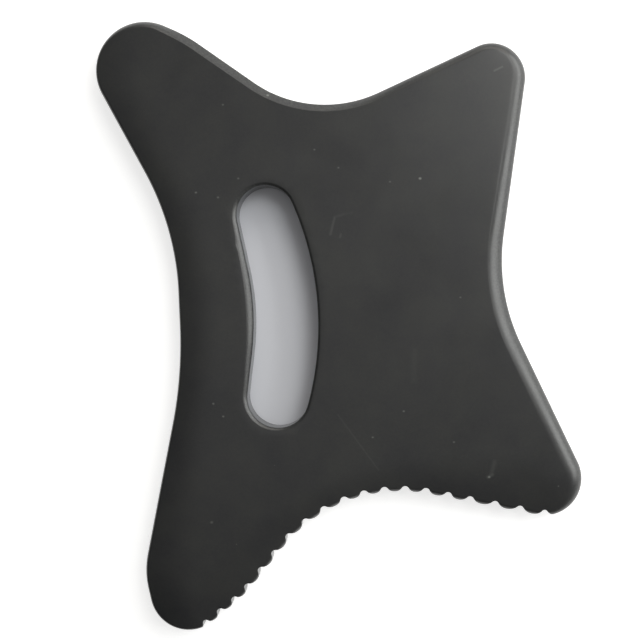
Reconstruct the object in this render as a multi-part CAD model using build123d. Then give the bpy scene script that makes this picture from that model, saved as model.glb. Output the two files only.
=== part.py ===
from build123d import *

# Gua sha board: one slab of black stone with four rounded horns joined by hollow sides, a kidney-shaped
# finger slot behind its back and a serrated lower side. It lies flat with its face up: +Y runs along its
# length, +Z out of its face, and the origin is the middle of its footprint on the surface below.

import os
from dataclasses import dataclass
from itertools import accumulate, pairwise
from math import asin, atan2, cos, radians, sin, sqrt, tan

# Slab
THICKNESS = 8.0

# Horns: centre and radius of each round end of the outline
TOE_X = -39.3
TOE_Y = -69.8
TOE_RADIUS = 10.3
HEEL_X = 53.6
HEEL_Y = -39.2
HEEL_RADIUS = 9.8
BEAK_X = 39.7
BEAK_Y = 64.6
BEAK_RADIUS = 8.8
HEAD_X = -50.8
HEAD_Y = 67.3
HEAD_RADIUS = 12.8

# Hollows between the horns: where the straight flanks would meet, and the radius that rounds them
ARCH_X = 0.7
ARCH_Y = -39.4
ARCH_RADIUS = 39.5
WAIST_X = 41.2
WAIST_Y = 9.2
WAIST_RADIUS = 50.0
SADDLE_X = -6.1
SADDLE_Y = 53.1
SADDLE_RADIUS = 32.8
BACK_X = -42.6
BACK_Y = 25.7
BACK_RADIUS = 72.0
SHANK_X = -41.0
SHANK_Y = -12.6
SHANK_RADIUS = 110.0

# Bulges that soften the flanks beside a horn: run from the horn, height out of the flank, radius
SOLE_RUN = 9.4
SOLE_BULGE = 1.65
SOLE_RADIUS = 40.0
NECK_RUN = 4.5
NECK_BULGE = 1.1
NECK_RADIUS = 45.0
ANKLE_RUN = 3.4
ANKLE_BULGE = 2.15
ANKLE_RADIUS = 22.0

# Edge all round: a nose arc wraps the rim, and a wide crown arc carries on from it to each flat face
CROWN_RUN = 4.5
CROWN_DROP = 0.9

# Finger slot: a round end above and below, a hollow inner wall and a bowed outer wall
SLOT_TOP_X = -18.7
SLOT_TOP_Y = 29.3
SLOT_TOP_RADIUS = 7.6
SLOT_BOTTOM_X = -15.4
SLOT_BOTTOM_Y = -18.2
SLOT_BOTTOM_RADIUS = 8.1
SLOT_HOLLOW_X = -20.8
SLOT_HOLLOW_Y = 4.4
SLOT_HOLLOW_RADIUS = 68.0
SLOT_BOW_RADIUS = 79.0
SLOT_RIM_CHAMFER = 1.0

# Serration: the notches stand close on the sole, wider in the arch and widest towards the heel
FIRST_NOTCH_BEFORE_SOLE = 1.8
SOLE_NOTCHES = 4
SOLE_PITCH = 5.05
ARCH_NOTCHES = 10
ARCH_PITCH = 5.65
HEEL_NOTCHES = 5
HEEL_PITCH = 6.25
NOTCH_DEPTH = 1.5
NOTCH_RADIUS = 0.9
TIP_SETBACK = 0.1


@dataclass(frozen=True)
class Horn:
    """A round corner whose circle the outline wraps; it may leave the circle along a bowed side."""

    x: float
    y: float
    radius: float
    bow_radius: float | None = None

    @property
    def centre(self) -> Vector:
        return Vector(self.x, self.y)

    @property
    def wrap_radius(self) -> float:
        return self.radius


@dataclass(frozen=True)
class Bend:
    """A corner between two straight flanks, rounded outwards or inwards as the flanks turn."""

    x: float
    y: float
    radius: float

    @property
    def centre(self) -> Vector:
        return Vector(self.x, self.y)

    @property
    def wrap_radius(self) -> float:
        return 0.0


@dataclass(frozen=True)
class Side:
    """The untrimmed stretch from one corner to the next, with the direction of travel at each end."""

    start: Vector
    end: Vector
    start_way: Vector
    end_way: Vector
    straight: bool


def left_of(way: Vector) -> Vector:
    """Direction into the stone, since every outline runs counter-clockwise."""
    return Vector(-way.Y, way.X)


def straight_side(first: Horn | Bend, second: Horn | Bend) -> Side:
    """Line that touches both corners and keeps them on its left."""
    across = second.centre - first.centre
    heading = atan2(across.Y, across.X) - asin((second.wrap_radius - first.wrap_radius) / across.length)
    way = Vector(cos(heading), sin(heading))
    start = first.centre - left_of(way) * first.wrap_radius
    end = second.centre - left_of(way) * second.wrap_radius
    return Side(start, end, way, way, straight=True)


def bowed_side(first: Horn, second: Horn | Bend, radius: float) -> Side:
    """Arc of the given radius that wraps both horns and runs smoothly into their circles."""
    across = second.centre - first.centre
    first_reach = radius - first.radius
    second_reach = radius - second.radius
    along = (first_reach**2 - second_reach**2 + across.length**2) / (2 * across.length)
    aside = sqrt(first_reach**2 - along**2)
    bow_centre = first.centre + across.normalized() * along + left_of(across.normalized()) * aside
    first_out = (first.centre - bow_centre).normalized()
    second_out = (second.centre - bow_centre).normalized()
    start = bow_centre + first_out * radius
    end = bow_centre + second_out * radius
    return Side(start, end, left_of(first_out), left_of(second_out), straight=False)


def side_between(first: Horn | Bend, second: Horn | Bend) -> Side:
    if isinstance(first, Horn) and first.bow_radius:
        return bowed_side(first, second, first.bow_radius)
    return straight_side(first, second)


def bulge(first: Horn | Bend, second: Horn | Bend, run: float, height: float, radius: float) -> Bend:
    """Bend pushed out of the flank between two corners, a run away from the horn among them."""
    flank = straight_side(first, second)
    foot = flank.start + flank.start_way * run
    if isinstance(second, Horn):
        foot = flank.end - flank.end_way * run
    point = foot - left_of(flank.start_way) * height
    return Bend(point.X, point.Y, radius)


def arc_trim(corner: Horn | Bend, arriving: Side, leaving: Side) -> float:
    """Length that a bend's arc takes from each flank; a horn's arc takes none."""
    if isinstance(corner, Horn):
        return 0.0
    turn = radians(arriving.end_way.get_angle(leaving.start_way))
    return corner.radius * tan(turn / 2)


def outline(corners: list[Horn | Bend]) -> list[Edge]:
    """Closed chain of tangent sides and arcs: the side that leaves each corner, then the next one's arc."""
    following = corners[1:] + corners[:1]
    sides = [side_between(first, second) for first, second in zip(corners, following)]
    trims = [arc_trim(corner, sides[i - 1], sides[i]) for i, corner in enumerate(corners)]
    edges = []
    for i, side in enumerate(sides):
        after = (i + 1) % len(sides)
        start = side.start + side.start_way * trims[i]
        end = side.end - side.end_way * trims[after]
        arc_end = sides[after].start + sides[after].start_way * trims[after]
        edges.append(Line(start, end) if side.straight else TangentArc(start, end, tangent=side.start_way))
        edges.append(TangentArc(end, arc_end, tangent=side.end_way))
    return edges


def board_corners() -> list[Horn | Bend]:
    """Corners of the board from the toe, counter-clockwise: along the serrated side, then up the right."""
    toe = Horn(TOE_X, TOE_Y, TOE_RADIUS)
    arch = Bend(ARCH_X, ARCH_Y, ARCH_RADIUS)
    heel = Horn(HEEL_X, HEEL_Y, HEEL_RADIUS)
    waist = Bend(WAIST_X, WAIST_Y, WAIST_RADIUS)
    beak = Horn(BEAK_X, BEAK_Y, BEAK_RADIUS)
    saddle = Bend(SADDLE_X, SADDLE_Y, SADDLE_RADIUS)
    head = Horn(HEAD_X, HEAD_Y, HEAD_RADIUS)
    back = Bend(BACK_X, BACK_Y, BACK_RADIUS)
    shank = Bend(SHANK_X, SHANK_Y, SHANK_RADIUS)
    sole = bulge(toe, arch, SOLE_RUN, SOLE_BULGE, SOLE_RADIUS)
    neck = bulge(saddle, head, NECK_RUN, NECK_BULGE, NECK_RADIUS)
    ankle = bulge(shank, toe, ANKLE_RUN, ANKLE_BULGE, ANKLE_RADIUS)
    return [toe, sole, arch, heel, waist, beak, saddle, neck, head, back, shank, ankle]


def slot_corners() -> list[Horn | Bend]:
    """Corners of the finger slot from its lower end: up its bowed outer wall, down its hollow inner wall."""
    bottom = Horn(SLOT_BOTTOM_X, SLOT_BOTTOM_Y, SLOT_BOTTOM_RADIUS, bow_radius=SLOT_BOW_RADIUS)
    top = Horn(SLOT_TOP_X, SLOT_TOP_Y, SLOT_TOP_RADIUS)
    hollow = Bend(SLOT_HOLLOW_X, SLOT_HOLLOW_Y, SLOT_HOLLOW_RADIUS)
    return [bottom, top, hollow]


def edge_section() -> Sketch:
    """Cross-section of the board's edge, from the rim at X = 0 to where both faces run flat.

    Y is the height from mid-thickness. One nose arc wraps the rim, and above and below it a wide crown
    arc carries on smoothly to the face.
    """
    crown_radius = (CROWN_RUN**2 + CROWN_DROP**2) / (2 * CROWN_DROP)
    slope = asin(CROWN_RUN / crown_radius)
    shoulder_height = THICKNESS / 2 - CROWN_DROP
    shoulder = shoulder_height * (1 - sin(slope)) / cos(slope)
    nose = ThreePointArc((shoulder, -shoulder_height), (0, 0), (shoulder, shoulder_height))
    crown = TangentArc(nose @ 1, (shoulder + CROWN_RUN, THICKNESS / 2), tangent=nose % 1)
    base = mirror(crown, about=Plane.XZ)
    return make_face([nose, crown, Line(crown @ 1, base @ 1), base])


def rounded_slab(outer: list[Edge], inner: list[Edge]) -> Part:
    """Slab with a rounded edge swept round its outline, and a slot whose rims are chamfered."""
    section = edge_section()
    rim = Wire(outer)
    way = rim % 0
    start = Plane(rim @ 0 + Vector(0, 0, THICKNESS / 2), x_dir=left_of(way), z_dir=way)
    core = offset(make_face(outer), -section.bounding_box().size.X)
    slab = extrude(core, THICKNESS) + sweep(start * section, path=Pos(0, 0, THICKNESS / 2) * rim)
    slab -= extrude(make_face(inner), THICKNESS)
    faces = slab.faces().sort_by(Axis.Z)
    return chamfer([face.inner_wires()[0].edges() for face in (faces[0], faces[-1])], SLOT_RIM_CHAMFER)


@dataclass(frozen=True)
class Station:
    """A place along the rim: its point, and the direction into the stone there."""

    point: Vector
    inward: Vector

    def inset(self, depth: float) -> Vector:
        return self.point + self.inward * depth


def station(path: list[Edge], distance: float) -> Station:
    """Station at a distance along a chain of edges."""
    for edge in path:
        if distance <= edge.length:
            break
        distance -= edge.length
    share = distance / edge.length
    return Station(edge @ share, left_of(edge % share))


def tooth_flank(tip: Vector, inward: Vector, notch_centre: Vector) -> Edge:
    """Arc that leaves a tooth's tip along the rim and runs smoothly into a notch's circle."""
    apart = tip - notch_centre
    radius = (apart.dot(apart) - NOTCH_RADIUS**2) / (2 * (NOTCH_RADIUS - inward.dot(apart)))
    centre = tip + inward * radius
    joint = notch_centre + (centre - notch_centre).normalized() * NOTCH_RADIUS
    middle_way = ((tip - centre).normalized() + (joint - centre).normalized()).normalized()
    return ThreePointArc(tip, centre + middle_way * radius, joint)


def serration(path: list[Edge], first_notch: float) -> Part:
    """Prism of everything outside the row of teeth, to cut away from the rounded slab.

    The row is one chain of tangent arcs: a tooth's flank, the notch, the next tooth's flank. The teeth
    stay just behind the rim, apart from the two end ones, which run out through it.
    """
    gaps = [SOLE_PITCH] * SOLE_NOTCHES + [ARCH_PITCH] * ARCH_NOTCHES + [HEEL_PITCH] * HEEL_NOTCHES
    notches = list(accumulate(gaps[1:], initial=first_notch))
    between = [(low + high) / 2 for low, high in pairwise(notches)]
    teeth = [notches[0] - gaps[0] / 2, *between, notches[-1] + gaps[-1] / 2]
    setbacks = [-TIP_SETBACK, *[TIP_SETBACK] * len(between), -TIP_SETBACK]
    stations = [station(path, tooth) for tooth in teeth]
    tips = [place.inset(setback) for place, setback in zip(stations, setbacks)]
    edges = []
    for i, notch in enumerate(notches):
        root = station(path, notch)
        notch_centre = root.inset(NOTCH_DEPTH - NOTCH_RADIUS)
        near, far = (tooth_flank(tips[j], stations[j].inward, notch_centre) for j in (i, i + 1))
        edges += [near, ThreePointArc(near @ 1, root.inset(NOTCH_DEPTH), far @ 1), far]
    outside = [place.inset(-THICKNESS) for place in (stations[-1], stations[0])]
    edges += Polyline(tips[-1], *outside, tips[0]).edges()
    return extrude(make_face(edges), THICKNESS)


def scraper_board() -> Part:
    """The finished board, with the middle of its footprint at the origin."""
    corners = board_corners()
    outer = outline(corners)
    board = rounded_slab(outer, outline(slot_corners()))
    toe_arc = outer[-1]
    heel = corners.index(Horn(HEEL_X, HEEL_Y, HEEL_RADIUS))
    toe_to_heel = [toe_arc, *outer[: 2 * heel]]
    board -= serration(toe_to_heel, toe_arc.length - FIRST_NOTCH_BEFORE_SOLE)
    middle = board.bounding_box().center()
    return Pos(-middle.X, -middle.Y) * board


os.makedirs("parts", exist_ok=True)
export_step(scraper_board(), "parts/scraper_board.step")
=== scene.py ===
import cmath
import logging
import math
from dataclasses import astuple, dataclass, field
from enum import Enum
from itertools import accumulate, pairwise

import bpy
import numpy as np
from mathutils import Matrix, Vector, geometry


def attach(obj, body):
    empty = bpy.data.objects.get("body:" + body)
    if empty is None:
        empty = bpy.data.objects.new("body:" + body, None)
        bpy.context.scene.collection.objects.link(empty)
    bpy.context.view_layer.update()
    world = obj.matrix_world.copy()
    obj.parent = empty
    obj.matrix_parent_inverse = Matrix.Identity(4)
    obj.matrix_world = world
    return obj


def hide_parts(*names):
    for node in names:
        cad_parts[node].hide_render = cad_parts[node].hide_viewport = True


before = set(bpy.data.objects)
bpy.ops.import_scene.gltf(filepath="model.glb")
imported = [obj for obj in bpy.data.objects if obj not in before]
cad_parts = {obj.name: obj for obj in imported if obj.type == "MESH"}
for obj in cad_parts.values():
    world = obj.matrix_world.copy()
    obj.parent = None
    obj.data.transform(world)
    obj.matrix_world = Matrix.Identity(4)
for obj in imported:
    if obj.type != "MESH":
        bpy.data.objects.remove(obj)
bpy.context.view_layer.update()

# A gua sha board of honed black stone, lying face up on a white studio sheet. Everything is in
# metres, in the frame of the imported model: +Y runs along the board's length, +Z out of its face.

NODE = "scraper_board"
LOG = logging.getLogger("gua_sha_board")

# The most that an outline turns from one of its points to the next
ARC_STEP = math.radians(2.2)
# How far the points strewn over a face keep from its rings, as a share of their spacing
RING_CLEARANCE = 0.6
# Distance at which points of a face count as one
WELD = 1e-9

Tree = bpy.types.NodeTree
Socket = bpy.types.NodeSocket
SocketValue = Socket | float | tuple[float, ...] | Vector


def linear(hex_colour: str) -> tuple[float, float, float, float]:
    """Turns an sRGB hex colour into the linear colour that a shader socket takes.

    Args:
        hex_colour: Six hex digits, such as "2f3231".

    Returns:
        Linear red, green and blue, and an alpha of 1.
    """
    channels = [int(hex_colour[i : i + 2], 16) / 255 for i in (0, 2, 4)]
    red, green, blue = (
        c / 12.92 if c <= 0.04045 else ((c + 0.055) / 1.055) ** 2.4 for c in channels
    )
    return red, green, blue, 1.0


def empty_tree(owner: bpy.types.Material | bpy.types.World) -> Tree:
    """Turns nodes on, and clears those that stand there.

    Args:
        owner: The material or world that the nodes belong to.

    Returns:
        Its node tree.
    """
    owner.use_nodes = True
    owner.node_tree.nodes.clear()
    return owner.node_tree


def add_node(
    tree: Tree, kind: str, settings: dict[str, str] | None = None, **sockets: SocketValue
) -> bpy.types.Node:
    """Adds one node with its settings, socket values and links.

    Args:
        tree: The node tree that the node goes into.
        kind: The node's type name.
        settings: Properties of the node itself.
        sockets: A value or an output socket for each named input, with spaces as underscores, or
            for the input of that number, as in_0, in_1 and so on.

    Returns:
        The new node.
    """
    node = tree.nodes.new(kind)
    for name, value in (settings or {}).items():
        setattr(node, name, value)
    for name, value in sockets.items():
        key = int(name[3:]) if name.startswith("in_") else name.replace("_", " ")
        if isinstance(value, Socket):
            tree.links.new(value, node.inputs[key])
        else:
            node.inputs[key].default_value = value
    return node


# --- Outline: runs of constant curvature, with points of the plane as complex numbers ---


class CornerKind(Enum):
    """How an outline goes round a corner."""

    HORN = "wraps a circle"
    BEND = "rounds the corner between two straight flanks"


@dataclass(frozen=True)
class EdgeStyle:
    """How the edge is ground, on both faces alike: at one place, or as arrays along the rim.

    The nose wraps the rim: a power of 2 rounds it as an ellipse, less flattens it towards a bevel
    and more makes it boxy, and a share of its height stands upright at the rim. The crown is the
    gentle fall of the face towards the nose, steepest at the rim. Both runs are measured from the
    rim.
    """

    nose_run: float | np.ndarray
    nose_power: float | np.ndarray
    upright: float | np.ndarray
    crown_run: float | np.ndarray
    crown_slope: float | np.ndarray


class Edge(Enum):
    """The edge round the board, ground by hand and so a little different at each place.

    The left and lower sides fall away over a broad crown. The right and upper sides stay flat up
    to a crisp round, which is all but a bevel along the saddle.
    """

    LEFT = EdgeStyle(
        nose_run=0.0009, nose_power=2.6, upright=0.06, crown_run=0.0115, crown_slope=0.28
    )
    TOE_TIP = EdgeStyle(
        nose_run=0.0010, nose_power=2.6, upright=0.06, crown_run=0.0150, crown_slope=0.20
    )
    TOOTHED = EdgeStyle(
        nose_run=0.0014, nose_power=2.2, upright=0.06, crown_run=0.0075, crown_slope=0.33
    )
    HEEL_SOLE = EdgeStyle(
        nose_run=0.0015, nose_power=2.4, upright=0.06, crown_run=0.0170, crown_slope=0.26
    )
    HEEL_SIDE = EdgeStyle(
        nose_run=0.0042, nose_power=1.8, upright=0.1, crown_run=0.0080, crown_slope=0.08
    )
    RIGHT = EdgeStyle(
        nose_run=0.0041, nose_power=1.4, upright=0.2, crown_run=0.0070, crown_slope=0.06
    )
    BEAK_SIDE = EdgeStyle(
        nose_run=0.0035, nose_power=1.8, upright=0.2, crown_run=0.0055, crown_slope=0.14
    )
    BEAK_TOP = EdgeStyle(
        nose_run=0.0020, nose_power=1.6, upright=0.55, crown_run=0.0060, crown_slope=0.04
    )
    UPPER = EdgeStyle(
        nose_run=0.0020, nose_power=1.04, upright=0.58, crown_run=0.0060, crown_slope=0.02
    )
    BEVELLED = EdgeStyle(
        nose_run=0.0022, nose_power=1.02, upright=0.50, crown_run=0.0060, crown_slope=0.02
    )
    HEAD_TOP = EdgeStyle(
        nose_run=0.0021, nose_power=1.7, upright=0.35, crown_run=0.0080, crown_slope=0.06
    )
    HEAD_SIDE = EdgeStyle(
        nose_run=0.0010, nose_power=2.6, upright=0.06, crown_run=0.0120, crown_slope=0.22
    )


@dataclass(frozen=True)
class Corner:
    """One corner of an outline: a centre or flank crossing and the radius there.

    Its edge's style holds at its middle. With a second style, the first holds a little before the
    middle and the second as far after it.
    """

    name: str
    at: complex
    radius: float
    kind: CornerKind = CornerKind.BEND
    edge: Edge | None = None
    edge_after: Edge | None = None

    @property
    def wrap(self) -> float:
        """Radius that the flanks keep clear of the corner's point."""
        return self.radius if self.kind is CornerKind.HORN else 0.0


@dataclass(frozen=True)
class Run:
    """A stretch of outline with constant curvature: a straight, or an arc to the left or right."""

    start: complex
    way: complex
    length: float
    curvature: float = 0.0

    def at(self, distance: np.ndarray) -> tuple[np.ndarray, np.ndarray]:
        """Follows the run.

        Args:
            distance: Distances from its start.

        Returns:
            The points there and the directions of travel.
        """
        turn = np.exp(1j * self.curvature * distance)
        gone = (turn - 1) / (1j * self.curvature) if self.curvature else distance
        return self.start + self.way * gone, self.way * turn


@dataclass(frozen=True)
class Flank:
    """The untrimmed stretch between two corners, straight or bowed outwards."""

    start: complex
    end: complex
    start_way: complex
    end_way: complex
    bow: float = 0.0

    @classmethod
    def between(cls, first: Corner, second: Corner, bow: float = 0.0) -> "Flank":
        """Draws the line or arc that touches both corners and keeps them on its left.

        Args:
            first: The corner that it leaves.
            second: The corner that it reaches.
            bow: Radius of the arc, or 0 for a straight flank.

        Returns:
            The flank.
        """
        across = second.at - first.at
        if not bow:
            heading = cmath.phase(across) - math.asin((second.wrap - first.wrap) / abs(across))
            way = cmath.rect(1, heading)
            start, end = (corner.at - 1j * way * corner.wrap for corner in (first, second))
            return cls(start, end, way, way)
        first_reach, second_reach = bow - first.radius, bow - second.radius
        along = (first_reach**2 - second_reach**2 + abs(across) ** 2) / (2 * abs(across))
        aside = math.sqrt(first_reach**2 - along**2)
        centre = first.at + across / abs(across) * complex(along, aside)
        out = [(corner.at - centre) / abs(corner.at - centre) for corner in (first, second)]
        start, end = (centre + way * bow for way in out)
        return cls(start, end, 1j * out[0], 1j * out[1], bow)


@dataclass(frozen=True)
class Bulge:
    """A slight swell in a flank beside a horn: how far along it stands, how high and how round."""

    name: str
    run: float
    height: float
    radius: float
    after_start: bool
    edge: Edge | None = None

    def corner(self, flank: Flank) -> Corner:
        """Makes the corner that the swell pushes out of a flank.

        Args:
            flank: The straight flank, with its horn at the start or at the end.

        Returns:
            The corner.
        """
        foot = flank.end - flank.end_way * self.run
        if self.after_start:
            foot = flank.start + flank.start_way * self.run
        crest = foot - 1j * flank.start_way * self.height
        return Corner(self.name, crest, self.radius, edge=self.edge)


@dataclass
class Loop:
    """A closed counter-clockwise outline round a list of corners."""

    corners: list[Corner]
    bows: dict[str, float] = field(default_factory=dict)
    runs: list[Run] = field(init=False)

    def __post_init__(self) -> None:
        """Joins the corners: the flank that leaves each one, then the next one's arc."""
        following = self.corners[1:] + self.corners[:1]
        flanks = [
            Flank.between(first, second, self.bows.get(first.name, 0.0))
            for first, second in zip(self.corners, following)
        ]
        turns = []
        trims = []
        for i, corner in enumerate(self.corners):
            turn = cmath.phase(flanks[i].start_way / flanks[i - 1].end_way)
            is_horn = corner.kind is CornerKind.HORN
            turns.append(turn % math.tau if is_horn else turn)
            trims.append(0.0 if is_horn else corner.radius * math.tan(abs(turn) / 2))
        self.runs = []
        for i, flank in enumerate(flanks):
            after = (i + 1) % len(flanks)
            start = flank.start + flank.start_way * trims[i]
            end = flank.end - flank.end_way * trims[after]
            bend = cmath.phase(flank.end_way / flank.start_way)
            length = abs(bend) * flank.bow if flank.bow else abs(end - start)
            curvature = 1 / flank.bow if flank.bow else 0.0
            self.runs.append(Run(start, flank.start_way, length, curvature))
            radius = self.corners[after].radius
            arc = abs(turns[after]) * radius
            self.runs.append(Run(end, flank.end_way, arc, math.copysign(1 / radius, turns[after])))

    @property
    def ends(self) -> list[float]:
        """Distance at which each run ends, from the start of the first."""
        return list(accumulate(run.length for run in self.runs))

    @property
    def length(self) -> float:
        """Length all the way round."""
        return self.ends[-1]

    def middle_of(self, name: str) -> float:
        """Finds the middle of a corner's arc.

        Args:
            name: The corner's name.

        Returns:
            Its distance along the outline.
        """
        index = next(i for i, corner in enumerate(self.corners) if corner.name == name)
        arc = (2 * index - 1) % len(self.runs)
        return self.ends[arc] - self.runs[arc].length / 2

    def at(self, distance: np.ndarray) -> tuple[np.ndarray, np.ndarray]:
        """Follows the outline.

        Args:
            distance: Distances along it, in any range.

        Returns:
            The points there and the unit normals that point to its inside.
        """
        distance = np.mod(distance, self.length)
        points = np.zeros(distance.shape, complex)
        ways = np.ones(distance.shape, complex)
        begin = 0.0
        for run, end in zip(self.runs, self.ends):
            here = (distance >= begin) & (distance <= end)
            points[here], ways[here] = run.at(distance[here] - begin)
            begin = end
        return points, 1j * ways

    def steps(self, coarse: float, fine: float, fine_from: float, fine_to: float) -> np.ndarray:
        """Divides the outline evenly within each run, finely over one stretch.

        Args:
            coarse: Longest step elsewhere; arcs take less, by their radius.
            fine: Longest step over the fine stretch.
            fine_from: Where the fine stretch starts, which may be below 0.
            fine_to: Where it ends.

        Returns:
            Distances along the outline, rising.
        """
        marks = sorted({0.0, *self.ends, fine_from % self.length, fine_to % self.length})
        parts = []
        for low, high in pairwise(marks):
            middle = (low + high) / 2
            run = self.runs[next(i for i, end in enumerate(self.ends) if middle < end)]
            in_fine = fine_from < middle < fine_to or fine_from < middle - self.length < fine_to
            arc_step = ARC_STEP / abs(run.curvature) if run.curvature else coarse
            step = fine if in_fine else min(coarse, arc_step)
            parts.append(np.linspace(low, high, max(2, math.ceil((high - low) / step) + 1))[:-1])
        return np.concatenate(parts)

    def blend(
        self, distance: np.ndarray, knots: list[tuple[float, tuple[float, ...]]]
    ) -> np.ndarray:
        """Eases values along the outline from knot to knot.

        Args:
            distance: Distances along the outline.
            knots: Places along the outline, rising, and the values at each.

        Returns:
            A row of values for each distance.
        """
        places = np.array([place for place, _ in knots])
        values = np.array([sizes for _, sizes in knots])
        places = np.concatenate(([places[-1] - self.length], places, [places[0] + self.length]))
        values = np.concatenate((values[-1:], values, values[:1]))
        after = np.clip(np.searchsorted(places, distance, side="right"), 1, len(places) - 1)
        share = (distance - places[after - 1]) / (places[after] - places[after - 1])
        share = (share * share * (3 - 2 * share))[:, None]
        return values[after - 1] * (1 - share) + values[after] * share


def inside(points: np.ndarray, ring: np.ndarray) -> np.ndarray:
    """Tells which points of the plane lie inside a closed ring.

    Args:
        points: Points as complex numbers.
        ring: The ring's corners in order.

    Returns:
        True for each point that is inside.
    """
    result = np.zeros(points.shape, bool)
    for a, b in zip(ring, np.roll(ring, -1)):
        crosses = (a.imag > points.imag) != (b.imag > points.imag)
        if crosses.any():
            x = a.real + (points.imag - a.imag) / (b.imag - a.imag) * (b.real - a.real)
            result ^= crosses & (points.real < x)
    return result


def strewn(border: np.ndarray, hole: np.ndarray, spacing: float) -> np.ndarray:
    """Strews points over the plane between a border and a hole, in a grid of even triangles.

    Args:
        border: The border's corners in order.
        hole: The hole's corners in order.
        spacing: Distance from each point to the next.

    Returns:
        The points.
    """
    columns = np.arange(border.real.min(), border.real.max(), spacing)
    rows = np.arange(border.imag.min(), border.imag.max(), spacing * math.sqrt(3) / 2)
    stagger = np.arange(len(rows)) % 2 * spacing / 2
    grid = (columns[None, :] + stagger[:, None] + 1j * rows[:, None]).ravel()
    grid = grid[inside(grid, border) & ~inside(grid, hole)]
    for ring in (border, hole):
        grid = grid[[np.abs(ring - point).min() > spacing * RING_CLEARANCE for point in grid]]
    return grid


# --- Finishes ---


@dataclass(frozen=True)
class Mark:
    """A mark of use on the upper face: a stroke with its start, end, width and strength."""

    start: tuple[float, float]
    end: tuple[float, float]
    width: float
    strength: float

    def nodes(self, tree: Tree, place: Socket) -> Socket:
        """Adds the nodes that draw the stroke, softest at its sides.

        Args:
            tree: The material's node tree.
            place: The point of the surface, flattened onto the plane of the face.

        Returns:
            The mark's strength, from 0.
        """
        start = Vector((*self.start, 0.0))
        run = Vector((*self.end, 0.0)) - start
        offset = add_node(
            tree, "ShaderNodeVectorMath", {"operation": "SUBTRACT"}, in_0=place, in_1=start
        )
        along = add_node(
            tree, "ShaderNodeVectorMath", {"operation": "DOT_PRODUCT"},
            in_0=offset.outputs[0], in_1=run / run.length_squared,
        )
        share = add_node(tree, "ShaderNodeClamp", in_0=along.outputs["Value"])
        foot = add_node(
            tree, "ShaderNodeVectorMath", {"operation": "SCALE"}, in_0=run, Scale=share.outputs[0]
        )
        away = add_node(
            tree, "ShaderNodeVectorMath", {"operation": "DISTANCE"},
            in_0=offset.outputs[0], in_1=foot.outputs[0],
        )
        shown = add_node(
            tree, "ShaderNodeMapRange", {"interpolation_type": "SMOOTHSTEP"},
            Value=away.outputs["Value"], From_Min=0.0, From_Max=self.width,
            To_Min=self.strength, To_Max=0.0,
        )
        return shown.outputs[0]


def fleck(x: float, y: float, width: float, strength: float) -> Mark:
    """Makes a mark that is a mere speck, at a place in metres."""
    return Mark((x, y), (x + width / 3, y), width, strength)


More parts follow.
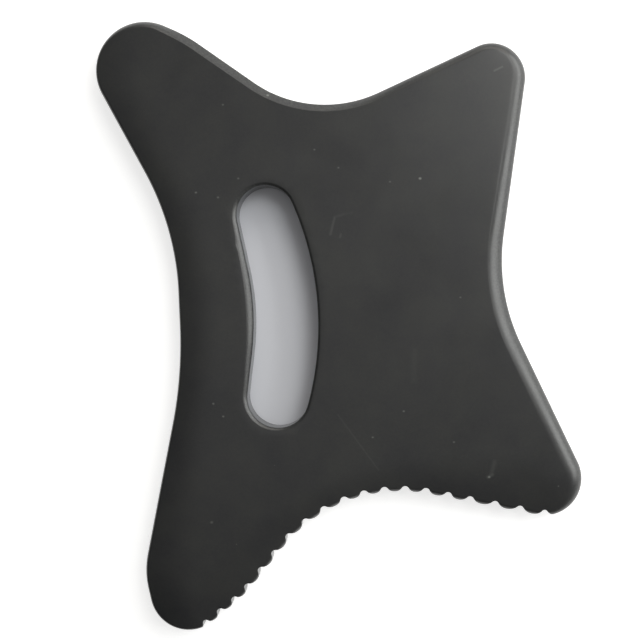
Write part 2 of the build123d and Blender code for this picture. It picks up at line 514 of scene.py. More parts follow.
@dataclass(frozen=True)
class HonedStone:
    """Black bian stone, sawn to shape, rounded on a wheel and honed by hand.

    Honing leaves a satin that scatters a window into a broad glow. The stone's own grains show in
    it as clouds a centimetre across, as a fine salt of grey and as a few pale flecks, and handling
    adds faint smears, hairlines and duller patches.
    """

    dark: str = "1b1c1f"
    light: str = "272827"
    pale: str = "7c7f7b"
    cloud_size: float = 0.011
    # The grains are a tenth of a millimetre; drawn a few times as coarse, they show
    grain_size: float = 0.0006
    grain_share: float = 0.4
    # Only the cells above the rarity hold a pale fleck, the widest this share of its cell
    fleck_spacing: float = 0.0052
    fleck_rarity: float = 0.80
    fleck_width: float = 0.065
    fleck_strength: float = 0.35
    # Strength of the painted sheen that makes the grain paler on the edge's roll
    edge_sheen_strength: float = 0.15
    # The smears are as wide as a fingertip
    smear_size: float = 0.016
    roughness_low: float = 0.32
    roughness_high: float = 0.39
    # Fingers and skin have rubbed the upright sides smoother than the faces
    rubbed: float = 0.45
    # The hone's bite: pits and ridges of a few micrometres
    bite_depth: float = 0.00002
    bite_strength: float = 0.35
    ior: float = 1.60
    marks: tuple[Mark, ...] = (
        fleck(0.0214, 0.0383, 0.00048, 0.9),
        fleck(-0.0367, 0.0350, 0.00040, 0.5),
        fleck(-0.0309, 0.0337, 0.00038, 0.4),
        fleck(-0.0256, 0.0386, 0.00036, 0.4),
        fleck(-0.0296, 0.0577, 0.00036, 0.4),
        fleck(-0.0058, 0.0459, 0.00036, 0.4),
        fleck(0.0004, 0.0412, 0.00034, 0.4),
        fleck(0.0137, 0.0375, 0.00036, 0.4),
        fleck(-0.0322, -0.0200, 0.00038, 0.5),
        fleck(-0.0296, -0.0233, 0.00038, 0.5),
        fleck(0.0173, -0.0217, 0.00038, 0.45),
        fleck(0.0302, -0.0296, 0.00034, 0.4),
        fleck(0.0093, -0.0285, 0.00036, 0.4),
        fleck(0.0318, 0.0077, 0.00034, 0.4),
        fleck(0.0393, -0.0386, 0.00044, 0.7),
        fleck(-0.0327, -0.0510, 0.00050, 0.3),
        fleck(-0.0180, 0.0602, 0.00045, 0.8),
        Mark((0.0391, -0.0386), (0.0402, -0.0379), 0.00075, 0.16),
        Mark((0.0399, -0.0378), (0.0407, -0.0346), 0.00095, 0.08),
        Mark((0.0404, 0.0657), (0.0424, 0.0667), 0.00045, 0.20),
        Mark((0.0004, -0.0228), (0.0109, -0.0370), 0.00035, 0.05),
        Mark((0.0201, -0.0060), (0.0199, -0.0137), 0.00130, 0.03),
        Mark((-0.0005, 0.0284), (-0.0016, 0.0240), 0.00055, 0.12),
        Mark((-0.0005, 0.0284), (0.0017, 0.0292), 0.00060, 0.06),
        Mark((0.0017, 0.0292), (0.0039, 0.0295), 0.00060, 0.03),
        Mark((0.0009, 0.0233), (0.0011, 0.0240), 0.00050, 0.12),
    )

    def material(self) -> bpy.types.Material:
        """Makes the material.

        Returns:
            The stone's material.
        """
        made = bpy.data.materials.new("honed_black_stone")
        tree = empty_tree(made)
        spot = add_node(tree, "ShaderNodeTexCoord")
        place = spot.outputs["Object"]
        upright = add_node(tree, "ShaderNodeSeparateXYZ", in_0=spot.outputs["Normal"]).outputs["Z"]
        level = add_node(tree, "ShaderNodeMath", {"operation": "ABSOLUTE"}, in_0=upright).outputs[0]
        grain = add_node(
            tree, "ShaderNodeTexNoise",
            Vector=place, Scale=1 / self.grain_size, Detail=2.0, Roughness=0.7,
        ).outputs["Fac"]
        pale = self.wear(tree, place, upright)
        # The marks, the flecks and a painted sheen on the edge's roll make the stone paler
        for other in (self.flecks(tree, place), self.grained_edge_sheen(tree, level, grain)):
            pale = add_node(
                tree, "ShaderNodeMath", {"operation": "MAXIMUM"}, in_0=pale, in_1=other
            ).outputs[0]
        colour = add_node(
            tree, "ShaderNodeMix", {"data_type": "RGBA"},
            in_0=pale, in_6=self.ground(tree, place, grain), in_7=linear(self.pale),
        )
        bite = add_node(
            tree, "ShaderNodeBump",
            Strength=self.bite_strength, Distance=self.bite_depth, Height=grain,
        )
        shader = add_node(
            tree, "ShaderNodeBsdfPrincipled", Base_Color=colour.outputs[2],
            Roughness=self.roughness(tree, place, level), IOR=self.ior, Normal=bite.outputs[0],
        )
        add_node(tree, "ShaderNodeOutputMaterial", Surface=shader.outputs[0])
        return made

    def ground(self, tree: Tree, place: Socket, grain: Socket) -> Socket:
        """Adds the stone's own colour, clouded and grained.

        Args:
            tree: The material's node tree.
            place: The point of the surface.
            grain: The stone's fine grain.

        Returns:
            The colour.
        """
        cloud = add_node(
            tree, "ShaderNodeTexNoise",
            Vector=place, Scale=1 / self.cloud_size, Detail=3.0, Roughness=0.55,
        )
        tone = add_node(
            tree, "ShaderNodeMix", {"data_type": "FLOAT"},
            in_0=self.grain_share, in_2=cloud.outputs["Fac"], in_3=grain,
        )
        spread = add_node(
            tree, "ShaderNodeMapRange", Value=tone.outputs[0], From_Min=0.34, From_Max=0.66
        )
        return add_node(
            tree, "ShaderNodeMix", {"data_type": "RGBA"},
            in_0=spread.outputs[0], in_6=linear(self.dark), in_7=linear(self.light),
        ).outputs[2]

    def roughness(self, tree: Tree, place: Socket, level: Socket) -> Socket:
        """Adds the satin of the hone, smeared by hands and rubbed smoother on the upright sides.

        Args:
            tree: The material's node tree.
            place: The point of the surface.
            level: How level the surface lies, from 0 where it stands upright to 1.

        Returns:
            The roughness.
        """
        smear = add_node(
            tree, "ShaderNodeTexNoise",
            Vector=place, Scale=1 / self.smear_size, Detail=4.0, Roughness=0.6, Distortion=0.6,
        )
        sheen = add_node(
            tree, "ShaderNodeMapRange", Value=smear.outputs["Fac"], From_Min=0.35, From_Max=0.65,
            To_Min=self.roughness_low, To_Max=self.roughness_high,
        )
        rubbed = add_node(
            tree, "ShaderNodeMapRange", Value=level, From_Min=0.05, From_Max=0.50,
            To_Min=self.rubbed, To_Max=1.0,
        )
        return add_node(
            tree, "ShaderNodeMath", {"operation": "MULTIPLY"},
            in_0=sheen.outputs[0], in_1=rubbed.outputs[0],
        ).outputs[0]

    def flecks(self, tree: Tree, place: Socket) -> Socket:
        """Adds pale flecks of mineral, strewn through the stone.

        Args:
            tree: The material's node tree.
            place: The point of the surface.

        Returns:
            How pale they make it.
        """
        cell = add_node(
            tree, "ShaderNodeTexVoronoi", Vector=place, Scale=1 / self.fleck_spacing, Randomness=1.0
        )
        rare = add_node(tree, "ShaderNodeSeparateXYZ", in_0=cell.outputs["Color"])
        size = add_node(
            tree, "ShaderNodeMapRange", Value=rare.outputs["X"],
            From_Min=self.fleck_rarity, From_Max=1.0, To_Min=0.0, To_Max=self.fleck_width,
        )
        speck = add_node(
            tree, "ShaderNodeMath", {"operation": "SUBTRACT"},
            in_0=size.outputs[0], in_1=cell.outputs["Distance"],
        )
        return add_node(
            tree, "ShaderNodeMapRange", Value=speck.outputs[0], From_Min=0.0, From_Max=0.03,
            To_Max=self.fleck_strength,
        ).outputs[0]

    def wear(self, tree: Tree, place: Socket, upright: Socket) -> Socket:
        """Adds the marks of use, which are on the upper face alone.

        Args:
            tree: The material's node tree.
            place: The point of the surface.
            upright: How far the surface's normal points up, from -1 to 1.

        Returns:
            How pale they make it.
        """
        flat = add_node(
            tree, "ShaderNodeVectorMath", {"operation": "MULTIPLY"},
            in_0=place, in_1=(1.0, 1.0, 0.0),
        )
        strokes = [mark.nodes(tree, flat.outputs[0]) for mark in self.marks]
        total = strokes[0]
        for stroke in strokes[1:]:
            total = add_node(
                tree, "ShaderNodeMath", {"operation": "MAXIMUM"}, in_0=total, in_1=stroke
            ).outputs[0]
        top = add_node(tree, "ShaderNodeMapRange", Value=upright, From_Min=0.3, From_Max=0.6)
        return add_node(
            tree, "ShaderNodeMath", {"operation": "MULTIPLY"}, in_0=total, in_1=top.outputs[0]
        ).outputs[0]

    def grained_edge_sheen(self, tree: Tree, level: Socket, grain: Socket) -> Socket:
        """Adds a painted sheen on the edge: the stone is painted paler in its grain where the edge
        curves away from a face.

        Args:
            tree: The material's node tree.
            level: How level the surface lies, from 0 where it stands upright to 1.
            grain: The stone's fine grain.

        Returns:
            How pale it makes it.
        """
        # Painted sheen: paler where the surface tilts from level towards upright
        edge = add_node(
            tree, "ShaderNodeMapRange", Value=level, From_Min=0.97, From_Max=0.70,
            To_Max=self.edge_sheen_strength,
        )
        coarse = add_node(tree, "ShaderNodeMapRange", Value=grain, From_Min=0.38, From_Max=0.68)
        return add_node(
            tree, "ShaderNodeMath", {"operation": "MULTIPLY"},
            in_0=edge.outputs[0], in_1=coarse.outputs[0],
        ).outputs[0]


@dataclass(frozen=True)
class Paper:
    """Matt paper or card; a lift brightens it to the eye alone, so that the background is white."""

    name: str
    colour: str
    lift: float = 0.0

    def material(self) -> bpy.types.Material:
        """Makes the material.

        Returns:
            The paper's material.
        """
        made = bpy.data.materials.new(self.name)
        tree = empty_tree(made)
        path = add_node(tree, "ShaderNodeLightPath")
        direct = add_node(
            tree, "ShaderNodeMath", {"operation": "MAXIMUM"},
            in_0=path.outputs["Is Camera Ray"], in_1=path.outputs["Is Glossy Ray"],
        )
        seen = add_node(
            tree, "ShaderNodeMath", {"operation": "MAXIMUM"},
            in_0=direct.outputs[0], in_1=path.outputs["Is Transmission Ray"],
        )
        strength = add_node(
            tree, "ShaderNodeMath", {"operation": "MULTIPLY"}, in_0=seen.outputs[0], in_1=self.lift
        )
        paper = add_node(tree, "ShaderNodeBsdfDiffuse", Color=linear(self.colour))
        glow = add_node(
            tree, "ShaderNodeEmission", Color=linear("ffffff"), Strength=strength.outputs[0]
        )
        lit = add_node(tree, "ShaderNodeAddShader", in_0=paper.outputs[0], in_1=glow.outputs[0])
        add_node(tree, "ShaderNodeOutputMaterial", Surface=lit.outputs[0])
        return made


# --- The board: its rim, teeth and finger slot as one closed mesh ---


@dataclass(frozen=True)
class Crown:
    """The gentle fall of a face towards the rim, in each side's own measure.

    The rim is sampled evenly, and each sample has the run and the slope of the fall beside it.
    """

    rim: np.ndarray
    run: np.ndarray
    slope: np.ndarray
    half_thickness: float
    softness: float = 0.0015

    def drop(self, points: np.ndarray) -> np.ndarray:
        """How far the face lies below its flat middle; sides that are about as near share the say.

        Args:
            points: Points of the plane as complex numbers.

        Returns:
            The drop at each point.
        """
        dropped = np.empty(points.shape)
        for i, point in enumerate(points):
            away = np.abs(self.rim - point)
            say = np.exp((away.min() - away) / self.softness)
            fall = self.run * self.slope / 2 * np.maximum(1 - away / self.run, 0) ** 2
            dropped[i] = (say * fall).sum() / say.sum()
        return dropped

    def rise(self, points: np.ndarray) -> np.ndarray:
        """Height of a face above mid-thickness at points of the plane."""
        return self.half_thickness - self.drop(points)


@dataclass(frozen=True)
class Serration:
    """The row of round teeth, cut by hand: groups of notches along the rim, widest at the heel.

    Each group has its count and its pitch. The first notch stands just before the sole's flank.
    """

    before_sole: float = 0.0015
    notches: tuple[tuple[int, float], ...] = (
        (4, 0.00498),
        (6, 0.00572),
        (4, 0.00528),
        (2, 0.00580),
        (3, 0.00655),
    )
    depth: float = 0.00175
    notch_radius: float = 0.0010
    tip_setback: float = 0.0001

    @property
    def roots(self) -> np.ndarray:
        """Distance of each notch along the rim, from the end of the toe's arc."""
        gaps = [pitch for count, pitch in self.notches for _ in range(count)]
        return np.array(list(accumulate(gaps[1:], initial=-self.before_sole)))

    @property
    def tips(self) -> np.ndarray:
        """Distance of each tooth's tip along the rim.

        Returns:
            The tips midway between the notches, and the two outermost half a gap beyond the end
            notches.
        """
        roots = self.roots
        before = roots[0] - self.notches[0][1] / 2
        beyond = roots[-1] + self.notches[-1][1] / 2
        return np.concatenate(([before], (roots[1:] + roots[:-1]) / 2, [beyond]))

    def cut(self, distance: np.ndarray) -> np.ndarray:
        """How far the teeth's outline lies behind the rim.

        Args:
            distance: Distances along the rim, from the end of the toe's arc.

        Returns:
            The depth at each distance, and 0 beyond the row.
        """
        roots, tips = self.roots, self.tips
        depth = np.zeros(distance.shape)
        centre_depth = self.depth - self.notch_radius
        for i, root in enumerate(roots):
            for side, tip in ((-1, tips[i]), (1, tips[i + 1])):
                outer_tip = (i == 0 and side < 0) or (i == len(roots) - 1 and side > 0)
                setback = -self.tip_setback if outer_tip else self.tip_setback
                half = abs(tip - root)
                rise = centre_depth - setback
                lobe = (half**2 + rise**2 - self.notch_radius**2) / (2 * (self.notch_radius + rise))
                reach = math.hypot(half, lobe - rise)
                joint = half * self.notch_radius / reach
                here = (side * (distance - root) >= 0) & (side * (distance - root) <= half)
                out = np.abs(distance - root)
                notch = centre_depth + np.sqrt(np.maximum(self.notch_radius**2 - out**2, 0))
                flank = setback + lobe - np.sqrt(np.maximum(lobe**2 - (half - out) ** 2, 0))
                depth[here] = np.where(out < joint, notch, flank)[here]
        return np.maximum(depth, 0.0)


@dataclass(frozen=True)
class Nick:
    """A small knock in an edge: where on the board, how wide and how deep."""

    at: complex
    width: float
    depth: float

    def bite(self, points: np.ndarray) -> np.ndarray:
        """Depth of the knock at points of the edge."""
        return self.depth * np.exp(-((np.abs(points - self.at) / self.width) ** 2))


@dataclass
class MeshDraft:
    """Points and faces of a mesh while it is put together from rings."""

    points: list[tuple[float, float, float]] = field(default_factory=list)
    faces: list[tuple[int, ...]] = field(default_factory=list)

    def ring(self, plane: np.ndarray, heights: np.ndarray) -> list[int]:
        """Adds a closed ring of points.

        Args:
            plane: Its points as complex numbers.
            heights: The height of each.

        Returns:
            The indices of the new points.
        """
        first = len(self.points)
        self.points += [(p.real, p.imag, z) for p, z in zip(plane.tolist(), heights.tolist())]
        return list(range(first, len(self.points)))

    def skin(self, lower: list[int], upper: list[int]) -> None:
        """Joins two rings of as many points with quads that face right of their direction.

        Args:
            lower: Indices of one ring.
            upper: Indices of the ring above it.
        """
        count = len(lower)
        for i in range(count):
            j = (i + 1) % count
            self.faces.append((lower[i], lower[j], upper[j], upper[i]))

    def cap(
        self, outer: list[int], inner: list[int], spacing: float, crown: Crown, side: int
    ) -> None:
        """Fills a face between an outer ring and a hole's ring.

        Args:
            outer: Indices of the outer ring.
            inner: Indices of the hole's ring.
            spacing: Spacing of the points strewn between the rings.
            crown: Gives the height of the face.
            side: 1 for the upper face, -1 for the lower one.
        """
        border, hole = (
            np.array([complex(*self.points[i][:2]) for i in ring]) for ring in (outer, inner)
        )
        grid = strewn(border, hole, spacing)
        coords = [Vector((point.real, point.imag)) for point in (*border, *hole, *grid)]
        loops = [list(range(len(outer))), list(range(len(outer), len(outer) + len(inner)))]
        edges = [(loop[i - 1], loop[i]) for loop in loops for i in range(len(loop))]
        places, _, faces, sources, *_ = geometry.delaunay_2d_cdt(coords, edges, [], 0, WELD)
        index = [*outer, *inner, *self.ring(grid, crown.half_thickness + side * crown.rise(grid))]
        flat = np.array([complex(*place) for place in places])
        middles = np.array([flat[list(face)].mean() for face in faces])
        kept = inside(middles, border) & ~inside(middles, hole)
        for face, keep in zip(faces, kept):
            if keep:
                self.faces.append(tuple(index[sources[i][0]] for i in face)[::side])

    def build(self, name: str) -> bpy.types.Object:
        """Makes the object, smooth shaded.

        Args:
            name: The new object's name.

        Returns:
            The object, linked to the scene.
        """
        mesh = bpy.data.meshes.new(name)
        mesh.from_pydata(self.points, [], self.faces)
        mesh.validate()
        mesh.polygons.foreach_set("use_smooth", [True] * len(mesh.polygons))
        mesh.update()
        made = bpy.data.objects.new(name, mesh)
        bpy.context.scene.collection.objects.link(made)
        return made


@dataclass
class FingerSlot:
    """The kidney-shaped slot that the fingertips go through.

    Its rim is a power curve like the nose, crisp but for one stretch that the thumb has worn: the
    reach and the focus say how that fades along the wall and as the wall turns away.
    """

    top: Corner = Corner("top", -0.0187 + 0.0293j, 0.0076, CornerKind.HORN)
    bottom: Corner = Corner("bottom", -0.0154 - 0.0182j, 0.0081, CornerKind.HORN)
    hollow: Corner = Corner("hollow", -0.0210 + 0.0044j, 0.068)
    bow: float = 0.079
    round_worn: float = 0.0018
    round_crisp: float = 0.0006
    rim_power: float = 1.25
    rim_fall: float = 0.80
    thumb_reach: float = 0.024
    thumb_focus: float = 1.2
    chip: Nick = Nick(at=-0.0260 + 0.0216j, width=0.0014, depth=0.0007)
    chip_fade: int = 4
    step: float = 0.0005
    rim_rows: int = 10
    wall_rows: int = 4

    loop: Loop = field(init=False)

    def __post_init__(self) -> None:
        """Draws the outline."""
        self.loop = Loop([self.bottom, self.top, self.hollow], {self.bottom.name: self.bow})

    def wall(self) -> tuple[np.ndarray, np.ndarray]:
        """Points of the wall in order, and the unit normals there that point into the slot."""
        return self.loop.at(self.loop.steps(self.step, self.step, 0.0, 0.0))

    def profile(self, brink: np.ndarray, ease: np.ndarray) -> list[tuple[np.ndarray, np.ndarray]]:
        """Draws half the wall, from a face over the rim and down to mid-thickness.

        Args:
            brink: The face's height above mid-thickness where the rim begins.
            ease: How far the rim is rounded back into the face.

        Returns:
            Rows of points: how far each lies back from the wall, and how high over mid-thickness.
        """
        rows = []
        for turn in np.linspace(0, math.pi / 2, self.rim_rows):
            out, down = (1 - f(turn) ** (2 / self.rim_power) for f in (math.sin, math.cos))
            rows.append((ease * out, brink - self.rim_fall * ease * down))
        for share in np.linspace(1, 0, self.wall_rows)[1:]:
            rows.append((np.zeros(ease.shape), (brink - self.rim_fall * ease) * share))
        return rows

    def rings(self, draft: MeshDraft, crown: Crown, shift: complex) -> tuple[list[int], list[int]]:
        """Builds the wall with its two eased rims.

        Args:
            draft: The mesh that it goes into.
            crown: Gives the height of a face above mid-thickness.
            shift: Moves the outline to its place in the board.

        Returns:
            The ring at the border of the lower face, and that of the upper face.
        """
        points, inward = self.wall()
        # The thumb has worn the upper rim rounder where it faces +X, most of all in mid-hollow
        from_thumb = (points.imag - self.hollow.at.imag) / self.thumb_reach
        worn = ((1 + inward.real) / 2) ** self.thumb_focus * np.exp(-(from_thumb**2))
        crisp = np.full(points.shape, self.round_crisp)
        eased = crisp + (self.round_worn - crisp) * worn
        chip = self.chip.bite(points + shift)
        rings = []
        for side, ease in ((1, eased), (-1, crisp)):
            brink = crown.rise(points - inward * ease + shift)
            rows = self.profile(brink, ease)
            # The row at mid-thickness belongs to the upper half alone
            for back, rise in rows if side > 0 else rows[-2::-1]:
                if side > 0:
                    back = back + chip * (rise / brink) ** self.chip_fade
                plane = points - inward * back + shift
                rings.append(draft.ring(plane, crown.half_thickness + side * rise))
        for upper, lower in pairwise(rings):
            draft.skin(upper, lower)
        return rings[-1], rings[0]


@dataclass
class ScraperBoard:
    """The stone board: four horns, hollow sides, a serrated lower side and a finger slot."""

    thickness: float = 0.008
    toe: Corner = Corner("toe", -0.0393 - 0.0698j, 0.0103, CornerKind.HORN, Edge.TOE_TIP)
    arch: Corner = Corner("arch", 0.0007 - 0.0394j, 0.0395, edge=Edge.TOOTHED)
    heel: Corner = Corner(
        "heel", 0.0536 - 0.0392j, 0.0098, CornerKind.HORN, Edge.HEEL_SOLE, Edge.HEEL_SIDE
    )
    waist: Corner = Corner("waist", 0.0412 + 0.0092j, 0.050, edge=Edge.RIGHT)
    beak: Corner = Corner(
        "beak", 0.0398 + 0.06445j, 0.0088, CornerKind.HORN, Edge.BEAK_SIDE, Edge.BEAK_TOP
    )
    saddle: Corner = Corner("saddle", -0.0064 + 0.05295j, 0.0328, edge=Edge.UPPER)
    head: Corner = Corner(
        "head", -0.0508 + 0.0673j, 0.0128, CornerKind.HORN, Edge.HEAD_TOP, Edge.HEAD_SIDE
    )
    back: Corner = Corner("back", -0.0426 + 0.0257j, 0.072, edge=Edge.LEFT)
    shank: Corner = Corner("shank", -0.0410 - 0.0126j, 0.110, edge=Edge.LEFT)
    sole_bulge: Bulge = Bulge("sole", 0.0094, 0.00165, 0.040, after_start=True)
    neck_bulge: Bulge = Bulge("neck", 0.0045, 0.0009, 0.045, after_start=False, edge=Edge.BEVELLED)
    ankle_bulge: Bulge = Bulge("ankle", 0.0034, 0.00215, 0.022, after_start=False)
    serration: Serration = Serration()
    slot: FingerSlot = field(default_factory=FingerSlot)
    rim_knock: Nick = Nick(at=-0.0181 + 0.0606j, width=0.0006, depth=0.0003)
    finish: HonedStone = HonedStone()

    # The mesh: steps along the rim, rows across nose and crown, and points strewn over the faces
    coarse_step: float = 0.0005
    fine_step: float = 0.00017
    crown_sampling: float = 0.0006
    nose_rows: int = 14
    crown_steps: tuple[float, ...] = (0.00015, 0.0004, 0.0008)
    face_spacing: float = 0.0016

    # A corner's two edge styles hold this far from its middle. The teeth's edges are eased, and
    # polishing takes a hundredth of a millimetre off the rim
    style_spread: float = 0.0095
    edge_ease: float = 0.00035
    polish: float = 0.00001

    outer: Loop = field(init=False)
    shift: complex = field(init=False)

    def __post_init__(self) -> None:
        """Draws the outline, and finds the shift that centres the board."""
        self.outer = Loop(self.corners())
        rim, _ = self.outer.at(np.arange(0, self.outer.length, self.fine_step / 4))
        self.shift = -complex(rim.real.max() + rim.real.min(), rim.imag.max() + rim.imag.min()) / 2

    def corners(self) -> list[Corner]:
        """Lists the corners round the board, with the small bulges beside three of the horns.

        Returns:
            The corners from the toe, counter-clockwise.
        """
        sole = self.sole_bulge.corner(Flank.between(self.toe, self.arch))
        neck = self.neck_bulge.corner(Flank.between(self.saddle, self.head))
        ankle = self.ankle_bulge.corner(Flank.between(self.shank, self.toe))
        lower = [self.toe, sole, self.arch, self.heel, self.waist, self.beak]
        return [*lower, self.saddle, neck, self.head, self.back, self.shank, ankle]

    def style(self, distance: np.ndarray) -> EdgeStyle:
        """Eases the edge's style along the rim, from corner to corner.

        Args:
            distance: Distances along the rim.

        Returns:
            The style, with an array for each of its sizes.
        """
        knots = []
        for corner in self.outer.corners:
            middle = self.outer.middle_of(corner.name)
            apart = self.style_spread if corner.edge_after else 0.0
            for edge, place in ((corner.edge, middle - apart), (corner.edge_after, middle + apart)):
                if edge:
                    knots.append((place, astuple(edge.value)))
        return EdgeStyle(*self.outer.blend(distance, sorted(knots)).T)

    def rim_rings(self, draft: MeshDraft, crown: Crown) -> tuple[list[int], list[int]]:
        """Builds the whole edge, from the border of the lower face round to that of the upper one.

        Args:
            draft: The mesh that it goes into.
            crown: Gives the height of a face above mid-thickness.

        Returns:
            The ring at the border of the lower face, and that of the upper face.
        """
        tips = self.serration.tips
        s = self.outer.steps(self.coarse_step, self.fine_step, tips[0], tips[-1])
        points, inward = self.outer.at(s)
        cut = self.serration.cut(np.where(s > self.outer.length / 2, s - self.outer.length, s))
        softness = self.edge_ease * cut / (cut + self.edge_ease)
        style = self.style(s)
        flush = np.zeros(s.shape)
        rows = [(flush, flush)]
        for turn in np.linspace(0, math.pi / 2, self.nose_rows):
            inset = style.nose_run * (1 - math.cos(turn) ** (2 / style.nose_power))
            risen = style.upright + (1 - style.upright) * math.sin(turn) ** (2 / style.nose_power)
            rows.append((inset, risen * crown.rise(points + inward * inset + self.shift)))
        for beyond in self.crown_steps:
            inset = style.nose_run + beyond
            rows.append((inset, crown.rise(points + inward * inset + self.shift)))
        knock = self.rim_knock.bite(points + self.shift)
        rings = []
        # The lower face's rows run outwards; the row at mid-thickness is the upper face's first
        for side, profile in ((-1, rows[:0:-1]), (1, rows)):
            for inset, rise in profile:
                toothed = (inset + cut + np.hypot(inset - cut, softness)) / 2
                carved = np.where(cut > 0, toothed, inset) + self.polish + knock
                plane = points + inward * carved + self.shift
                rings.append(draft.ring(plane, crown.half_thickness + side * rise))
        for lower, upper in pairwise(rings):
            draft.skin(lower, upper)
        return rings[0], rings[-1]

    def crown(self) -> Crown:
        """Samples the rim for the fall of both faces towards it.

        Returns:
            The crown.
        """
        s = np.arange(0, self.outer.length, self.crown_sampling)
        rim, _ = self.outer.at(s)
        style = self.style(s)
        return Crown(rim + self.shift, style.crown_run, style.crown_slope, self.thickness / 2)

    def build(self) -> bpy.types.Object:
        """Puts the board together in place of the plain CAD node, and gives it its finish.

        Returns:
            The board.
        """
        draft = MeshDraft()
        crown = self.crown()
        lower_rim, upper_rim = self.rim_rings(draft, crown)
        lower_slot, upper_slot = self.slot.rings(draft, crown, self.shift)
        draft.cap(upper_rim, upper_slot, self.face_spacing, crown, side=1)
        draft.cap(lower_rim, lower_slot, self.face_spacing, crown, side=-1)
        board = draft.build("stone_board")
        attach(board, "root")
        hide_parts(NODE)
        board.data.materials.append(self.finish.material())
        return board


# --- Studio ---


@dataclass(frozen=True)
class Lamp:
    """A soft box: where it stands, its width and height, its power and its colour."""

    name: str
    place: tuple[float, float, float]
    size: tuple[float, float]
    power: float
    colour: str = "ffffff"

    def build(self, target: Vector) -> bpy.types.Object:
        """Makes the lamp, turned to a point.

        Args:
            target: The point that it looks at.

        Returns:
            The lamp.
        """
        data = bpy.data.lights.new(self.name, "AREA")
        data.shape = "RECTANGLE"
        data.size, data.size_y = self.size
        data.energy = self.power
        data.color = linear(self.colour)[:3]
        lamp = bpy.data.objects.new(self.name, data)
        lamp.location = self.place
        lamp.rotation_mode = "QUATERNION"
        lamp.rotation_quaternion = (target - lamp.location).to_track_quat("-Z", "Y")
        bpy.context.scene.collection.objects.link(lamp)
        return lamp


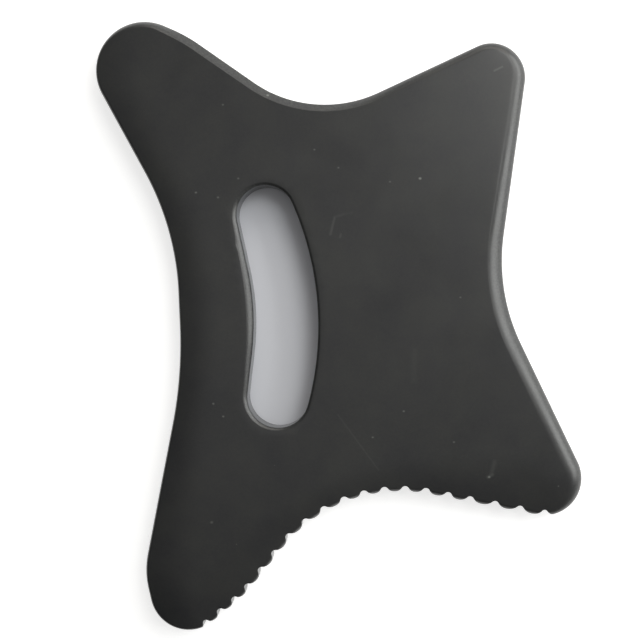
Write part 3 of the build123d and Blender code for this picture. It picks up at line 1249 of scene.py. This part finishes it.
@dataclass
class Studio:
    """The sheet with a pale card on it, the lamps, the room's light and the camera."""

    # Radius and height of each ring of the sheet
    sheet_rings: tuple[tuple[float, float], ...] = (
        (0.5, 0.0),
        (3.2, 0.0),
        (3.8, 0.06),
        (4.1, 0.19),
        (4.2, 0.32),
    )
    sheet_segments: int = 96
    sheet: Paper = Paper("matt_white_paper", "d6d6d6", 0.68)
    card: Paper = Paper("pale_grey_card", "dfe1e8")
    card_thickness: float = 0.0002
    card_margin: float = 0.0045
    lamps: tuple[Lamp, ...] = (
        Lamp("low_window", (0.533, 0.194, 0.225), (0.60, 0.32), 2.9, "fcfdfb"),
        Lamp("high_window", (0.256, 0.230, 0.491), (0.30, 0.30), 1.10, "fcfdfb"),
        Lamp("ceiling_glow", (-0.134, -0.012, 0.585), (0.25, 0.25), 0.075, "fdfcfa"),
        Lamp("far_wall", (0.137, 0.512, 0.282), (0.52, 0.30), 1.08, "fffaf2"),
    )
    room_bright: float = 0.36
    room_dim: float = 0.03
    room_colour: str = "fffdf9"
    window_way: float = math.radians(38)
    # The camera hangs over the board, with the board's length up the picture
    eye: tuple[float, float, float] = (0.0094, 0.0057, 0.2784)
    look_at: tuple[float, float, float] = (-0.0045, 0.0018, 0.0040)
    lens: float = 58.8
    sensor_width: float = 36.0
    clip: tuple[float, float] = (0.01, 20.0)

    def build_sheet(self) -> bpy.types.Object:
        """Lays the paper sheet, a card's thickness below the board, with its far edge coved up.

        Returns:
            The sheet.
        """
        draft = MeshDraft()
        round_way = np.exp(1j * np.linspace(0, math.tau, self.sheet_segments, endpoint=False))
        rings = [
            draft.ring(radius * round_way, np.full(round_way.shape, height - self.card_thickness))
            for radius, height in self.sheet_rings
        ]
        draft.faces.append(tuple(rings[0]))
        for inner, outer in pairwise(rings):
            draft.skin(outer, inner)
        sheet = draft.build("studio_sheet")
        sheet.data.materials.append(self.sheet.material())
        return sheet

    def build_card(self, board: ScraperBoard) -> bpy.types.Object:
        """Lays the card that the finger slot looks down on; the board hides the rest of it.

        Args:
            board: The board that lies on it.

        Returns:
            The card.
        """
        points, inward = board.slot.wall()
        draft = MeshDraft()
        ring = draft.ring(points - inward * self.card_margin + board.shift, np.zeros(points.shape))
        draft.faces.append(tuple(ring))
        card = draft.build("slot_card")
        card.data.materials.append(self.card.material())
        return card

    def build_world(self) -> None:
        """Sets the room's light, brighter on the window's side."""
        world = bpy.data.worlds.new("studio_room")
        tree = empty_tree(world)
        way = add_node(tree, "ShaderNodeTexCoord").outputs["Generated"]
        window = (math.cos(self.window_way), math.sin(self.window_way), 0.0)
        facing = add_node(
            tree, "ShaderNodeVectorMath", {"operation": "DOT_PRODUCT"}, in_0=way, in_1=window
        )
        level = add_node(
            tree, "ShaderNodeMapRange", {"interpolation_type": "SMOOTHSTEP"},
            Value=facing.outputs["Value"], From_Min=-0.70, From_Max=-0.10,
            To_Min=self.room_dim, To_Max=self.room_bright,
        )
        room = add_node(
            tree, "ShaderNodeBackground", Color=linear(self.room_colour), Strength=level.outputs[0]
        )
        add_node(tree, "ShaderNodeOutputWorld", Surface=room.outputs[0])
        bpy.context.scene.world = world

    def build_camera(self) -> bpy.types.Object:
        """Hangs the camera.

        Returns:
            The camera.
        """
        data = bpy.data.cameras.new("camera")
        data.lens = self.lens
        data.sensor_width = self.sensor_width
        data.clip_start, data.clip_end = self.clip
        camera = bpy.data.objects.new("camera", data)
        eye = Vector(self.eye)
        back = (eye - Vector(self.look_at)).normalized()
        right = Vector((0, 1, 0)).cross(back).normalized()
        turn = Matrix((right, back.cross(right), back)).transposed()
        camera.matrix_world = Matrix.Translation(eye) @ turn.to_4x4()
        bpy.context.scene.collection.objects.link(camera)
        bpy.context.scene.camera = camera
        return camera

    def build(self, board: ScraperBoard) -> list[bpy.types.Object]:
        """Builds the whole studio round a board.

        Args:
            board: The board that lies in it.

        Returns:
            The camera, the sheet, the card and the lamps.
        """
        made = [self.build_camera(), self.build_sheet(), self.build_card(board)]
        self.build_world()
        made += [lamp.build(Vector((0, 0, 0))) for lamp in self.lamps]
        bpy.context.scene.view_settings.view_transform = "Standard"
        return made


def main() -> None:
    """Builds the studio and the board, and reports each piece."""
    logging.basicConfig(level=logging.INFO, format="%(name)s: %(message)s")
    design = ScraperBoard()
    for item in Studio().build(design):
        LOG.info("%s, in the studio", item.name)
    board = design.build()
    finish = board.data.materials[0].name
    LOG.info("%s: %d faces, finish %s", board.name, len(board.data.polygons), finish)


if __name__ == "__main__":
    main()
